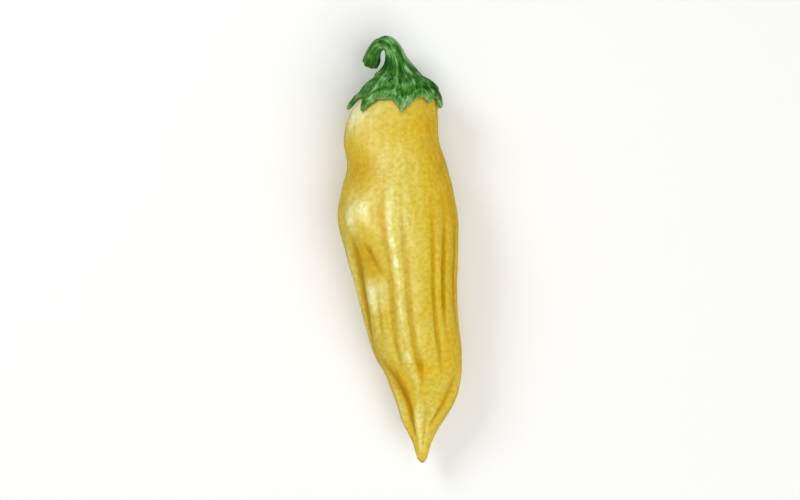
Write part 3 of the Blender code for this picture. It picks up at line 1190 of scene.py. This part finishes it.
class Paint:
    """A new material and the nodes that colour it."""

    def __init__(self, name):
        self.material = bpy.data.materials.new(name)
        self.material.use_nodes = True
        self.tree = self.material.node_tree
        self.shader = self.tree.nodes["Principled BSDF"]

    def put(self, node, socket, value):
        """Links a socket to a wire, or sets its value."""
        if isinstance(value, Wire):
            self.tree.links.new(value.socket, node.inputs[socket])
            return
        if node.inputs[socket].type == "RGBA" and len(value) == 3:
            value = (*value, 1.0)
        node.inputs[socket].default_value = value

    def node(self, kind, settings=None, inputs=None, output=0):
        """Adds a node with its settings and sockets, and returns one of its outputs."""
        node = self.tree.nodes.new(kind)
        for name, value in (settings or {}).items():
            setattr(node, name, value)
        for socket, value in (inputs or {}).items():
            self.put(node, socket, value)
        return Wire(self, node.outputs[output])

    def attribute(self, name):
        """One of the mesh's attributes."""
        return self.node("ShaderNodeAttribute", {"attribute_name": name}, output="Fac")

    def mixed(self, share, colour, other):
        """A colour with a share of another in it."""
        inputs = {0: share, 6: colour, 7: other}
        return self.node("ShaderNodeMix", {"data_type": "RGBA"}, inputs, output=2)

    def shaded(self, share, colour, shade):
        """A colour, multiplied by a share of a shade that runs from 0 to 1."""
        inputs = {0: share.clamped(), 6: colour, 7: shade}
        settings = {"data_type": "RGBA", "blend_type": "MULTIPLY"}
        return self.node("ShaderNodeMix", settings, inputs, output=2)

    def noise(self, place, scale, detail=2.0, roughness=0.5):
        """Smooth noise from 0 to 1."""
        inputs = {"Vector": place, "Scale": scale, "Detail": detail, "Roughness": roughness}
        return self.node("ShaderNodeTexNoise", None, inputs)

    def stretched(self, place, scale):
        """A place, scaled along each axis."""
        return self.node("ShaderNodeMapping", None, {"Vector": place, "Scale": scale})

    def bump(self, height, distance, strength=1.0):
        """The surface's normal, tilted by a height."""
        inputs = {"Height": height, "Distance": distance, "Strength": strength}
        return self.node("ShaderNodeBump", None, inputs, output="Normal")

    def finish(self, **sockets):
        """Feeds the material's shader; a socket's spaces are underscores here."""
        for name, value in sockets.items():
            self.put(self.shader, name.replace("_", " "), value)
        return self.material


def ripe_skin(colours):
    """Waxy yellow skin, finely mottled: ochre painted shade in its furrows, dents and on its side
    away from the light, and pale painted highlights on its ridges, beads, bulge and shoulder.
    """
    paint = Paint("ripe_skin")
    place = paint.node("ShaderNodeTexCoord", output="Object")
    crest = paint.attribute("crest")
    tint, sunk = paint.attribute("tint"), paint.attribute("sunk")
    drop = paint.attribute("drop")
    streaks = paint.noise(paint.stretched(place, (1.0, 0.12, 1.0)), SKIN_STREAKS, 3.0)
    patches = paint.noise(place, SKIN_PATCHES)
    mottle = paint.noise(place, SKIN_MOTTLE, 2.0, 0.6)

    flesh, shade_and_deep_tone = tuple(colours.flesh), tuple(colours.shade_and_deep_tone)
    furrow_shade, highlight_and_pale_tone = tuple(colours.furrow_shade), tuple(colours.highlight_and_pale_tone)
    uneven = (patches - 0.5) * 1.3 + (streaks - 0.5) * 1.5
    # Paleness sums the tints' painted highlights and painted shade, a painted highlight on crests,
    # painted shade in furrows, and the skin's uneven tone.
    paleness = tint * 0.95 + crest * 0.25 + uneven
    # Below zero, paleness turns the skin to the golden yellow of painted shade and deeper tone.
    colour = paint.mixed((paleness * -0.75).clamped(), flesh, shade_and_deep_tone)
    # Above zero, paleness turns the skin to the pale yellow of painted highlight and paler tone.
    colour = paint.mixed((paleness * 0.85).clamped(), colour, highlight_and_pale_tone)
    # Hollows, furrows and the deepest tints get the ochre of painted shade.
    deep = (-paleness - 0.7).clamped()
    hollow_shade = (-crest).between(0.1, 1.1) * 0.5 + sunk * 0.5 + deep * 0.85
    colour = paint.mixed(hollow_shade.clamped(), colour, furrow_shade)
    # The skin turns slightly to the shoulder's pale near the calyx, and fully where paleness is
    # highest, as painted highlight.
    shoulder = (1.0 - drop.between(3.0, 13.0)) * 0.2 + (paleness - 0.9) * 0.9
    colour = paint.mixed(shoulder.clamped(), colour, tuple(colours.shoulder))
    colour = paint.shaded((mottle - 0.5) * 3.0 + 0.4, colour, MOTTLE_SHADE)
    scar = drop.between(*SCAR_DROPS)
    colour = paint.mixed(scar * 0.8, colour, tuple(colours.scar))
    # Painted shadow, in the scar's brown, along the calyx's margin.
    collar = paint.attribute("collar")
    colour = paint.mixed(collar * 0.5, colour, tuple(colours.scar))

    relief_height = mottle * 0.4 + streaks * 0.6
    return paint.finish(
        Base_Color=colour,
        Roughness=0.5 + patches * 0.14,
        Normal=paint.bump(relief_height, 0.00006, 0.5),
        Specular_IOR_Level=0.08,
        Coat_Weight=(0.2 + tint * 0.14 - sunk * 0.2).clamped(),
        Coat_Roughness=0.36,
        Subsurface_Weight=0.2,
        Subsurface_Radius=(1.0, 0.55, 0.12),
        Subsurface_Scale=0.0016,
    )


def green_tissue(colours):
    """Fresh green calyx and stalk: pale ribs and wrinkles on a deeper, streaked green, with painted
    highlights along crests and on the margin's edge, and painted shade in the groove and hollows.
    """
    paint = Paint("green_tissue")
    place = paint.node("ShaderNodeTexCoord", output="Object")
    grain = paint.node("ShaderNodeAttribute", {"attribute_name": "grain"}, output="Vector")
    rib, stalk = paint.attribute("rib"), paint.attribute("stalk")
    tint, groove = paint.attribute("tint"), paint.attribute("groove")

    patches = paint.noise(place, GREEN_PATCHES, 3.0, 0.6)
    along = paint.stretched(grain, (1.0, 0.3, 1.0))
    streaks = paint.noise(along, GRAIN_STREAKS, 2.0, 0.55)
    far_along = paint.stretched(grain, (1.0, 0.22, 1.0))
    fine_streaks = paint.noise(far_along, GRAIN_FINE_STREAKS, 2.0, 0.6)
    wrinkles = paint.noise(paint.stretched(grain, (1.0, 0.6, 1.0)), GRAIN_WRINKLES)
    wrinkles = wrinkles.crested().between(0.8, 1.0) * (1.0 - stalk)

    # The tints paint highlights and shade, and the groove below the neck is darkened as painted
    # shade.
    lightness = 0.38 + tint * 0.4 - groove * 0.25
    lightness = lightness + (patches - 0.5) * 1.1 + (streaks - 0.5) * 1.3 + wrinkles * 0.16
    lightness = lightness + (fine_streaks - 0.5) * (1.5 - stalk * 0.7)
    # The pale lines along the ribs are partly painted highlight.
    lightness = lightness + rib.between(0.4, 1.0) * (0.14 + stalk * 0.04)
    colour = paint.mixed(
        (lightness * 2.0).clamped(), tuple(colours.deep_green_and_shade), tuple(colours.green)
    )
    colour = paint.mixed((lightness * 2.0 - 1.0).clamped(), colour, tuple(colours.rib))
    # Painted highlight along the margin's edge.
    edge = paint.attribute("margin") * (patches * 1.6 - 0.45)
    colour = paint.mixed(edge.clamped(), colour, tuple(colours.margin))
    scar = paint.attribute("scar")
    colour = paint.mixed(scar * (0.3 + patches), colour, tuple(colours.scar))

    height = wrinkles * 0.4 + patches * 0.35 + fine_streaks * 0.5
    return paint.finish(
        Base_Color=colour,
        Roughness=0.46 + patches * 0.2,
        Specular_IOR_Level=0.05,
        Normal=paint.bump(height, 0.00014, 0.7),
        Subsurface_Weight=0.06,
        Subsurface_Radius=(0.4, 0.9, 0.2),
        Subsurface_Scale=0.0006,
    )


def plain_floor(colour):
    """A matt floor of one colour."""
    paint = Paint("plain_floor")
    return paint.finish(Base_Color=tuple(colour), Roughness=0.75, Specular_IOR_Level=0.2)


def add_light(name, place, power, width, length, aim, gives):
    """An area light, its length along Y, that points at a place and gives fill, gloss or both."""
    bpy.ops.object.light_add(type="AREA", location=place)
    lamp = bpy.context.object
    lamp.name = name
    lamp.rotation_euler = (Vector(aim) - Vector(place)).to_track_quat("-Z", "Y").to_euler()
    lamp.data.energy = power
    lamp.data.shape = "RECTANGLE"
    lamp.data.size = width
    lamp.data.size_y = length
    lamp.visible_diffuse = gives != "gloss"
    lamp.visible_glossy = gives != "fill"


class PEPPER_OT_pod(bpy.types.Operator):
    """Model the pod and give it its ripe skin"""

    bl_idname = "pepper.pod"
    bl_label = "Grow Pod"

    def execute(self, context):
        pod = grow_pod(context.scene.pepper_pod_sizes)
        pod.data.materials.append(ripe_skin(context.scene.pepper_pod_colours))
        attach(pod, BODY)
        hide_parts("pod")
        return {"FINISHED"}


class PEPPER_OT_calyx_and_stalk(bpy.types.Operator):
    """Model the calyx and its stalk and give them their green"""

    bl_idname = "pepper.calyx_and_stalk"
    bl_label = "Grow Calyx and Stalk"

    def execute(self, context):
        piece = grow_calyx_and_stalk(context.scene.pepper_calyx_sizes)
        piece.data.materials.append(green_tissue(context.scene.pepper_calyx_colours))
        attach(piece, BODY)
        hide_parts("calyx_and_stalk")
        return {"FINISHED"}


class PEPPER_OT_stage(bpy.types.Operator):
    """Lay the plain floor, light it softly and put up the camera over the pepper"""

    bl_idname = "pepper.stage"
    bl_label = "Set Stage"

    def execute(self, context):
        settings = context.scene.pepper_stage
        low, high = (Vector(corner) for corner in CAD_BOX)
        middle = (low + high) / 2
        bpy.ops.object.select_all(action="DESELECT")
        bpy.ops.mesh.primitive_plane_add(size=FLOOR_SIZE, location=(middle.x, middle.y, 0.0))
        floor = bpy.context.object
        floor.name = "floor"
        bpy.ops.object.transform_apply(location=True, rotation=True, scale=True)
        floor.data.materials.append(plain_floor(settings.floor_colour))
        # Only the lamps give gloss, so that no white veil lies over the skin's colours.
        floor.visible_glossy = False

        for name, place, width, length, gives in LAMPS:
            power = getattr(settings, name + "_power")
            add_light(name, middle + Vector(place), power, width, length, middle, gives)
        world = bpy.data.worlds.new("studio")
        context.scene.world = world
        world.use_nodes = True
        background = world.node_tree.nodes["Background"]
        background.inputs["Color"].default_value = (1.0, 1.0, 1.0, 1.0)
        background.inputs["Strength"].default_value = SURROUND_STRENGTH
        world.cycles_visibility.glossy = False
        context.scene.view_settings.view_transform = "Standard"

        bpy.ops.object.camera_add(rotation=(0.0, 0.0, 0.0))
        camera = bpy.context.object
        camera.data.lens = settings.lens
        sensor_height = camera.data.sensor_width * PICTURE_SHAPE
        distance = settings.lens * settings.view_height / sensor_height
        camera.location = (middle.x, middle.y, middle.z + distance)
        camera.data.clip_start = CLIP_START
        context.scene.camera = camera
        return {"FINISHED"}


SETTING_GROUPS = (
    ("pepper_pod_sizes", PodSizes),
    ("pepper_pod_colours", PodColours),
    ("pepper_calyx_sizes", CalyxSizes),
    ("pepper_calyx_colours", CalyxColours),
    ("pepper_stage", StageSettings),
)
OPERATORS = (PEPPER_OT_pod, PEPPER_OT_calyx_and_stalk, PEPPER_OT_stage)


class PEPPER_PT_panel(bpy.types.Panel):
    """Lists the pepper's sizes and colours and the operators that make it"""

    bl_idname = "PEPPER_PT_panel"
    bl_label = "Chili Pepper"
    bl_space_type = "VIEW_3D"
    bl_region_type = "UI"
    bl_category = "Pepper"

    def draw(self, context):
        for operator in OPERATORS:
            self.layout.operator(operator.bl_idname)
        for name, group in SETTING_GROUPS:
            box = self.layout.box()
            for field in group.__annotations__:
                box.prop(getattr(context.scene, name), field)


def register():
    for name, group in SETTING_GROUPS:
        bpy.utils.register_class(group)
        setattr(bpy.types.Scene, name, PointerProperty(type=group))
    for operator in OPERATORS:
        bpy.utils.register_class(operator)
    bpy.utils.register_class(PEPPER_PT_panel)


def unregister():
    bpy.utils.unregister_class(PEPPER_PT_panel)
    for operator in OPERATORS:
        bpy.utils.unregister_class(operator)
    for name, group in SETTING_GROUPS:
        delattr(bpy.types.Scene, name)
        bpy.utils.unregister_class(group)


def main():
    """Makes the pepper and its stage."""
    register()
    bpy.ops.pepper.pod()
    bpy.ops.pepper.calyx_and_stalk()
    bpy.ops.pepper.stage()


if __name__ == "__main__":
    main()
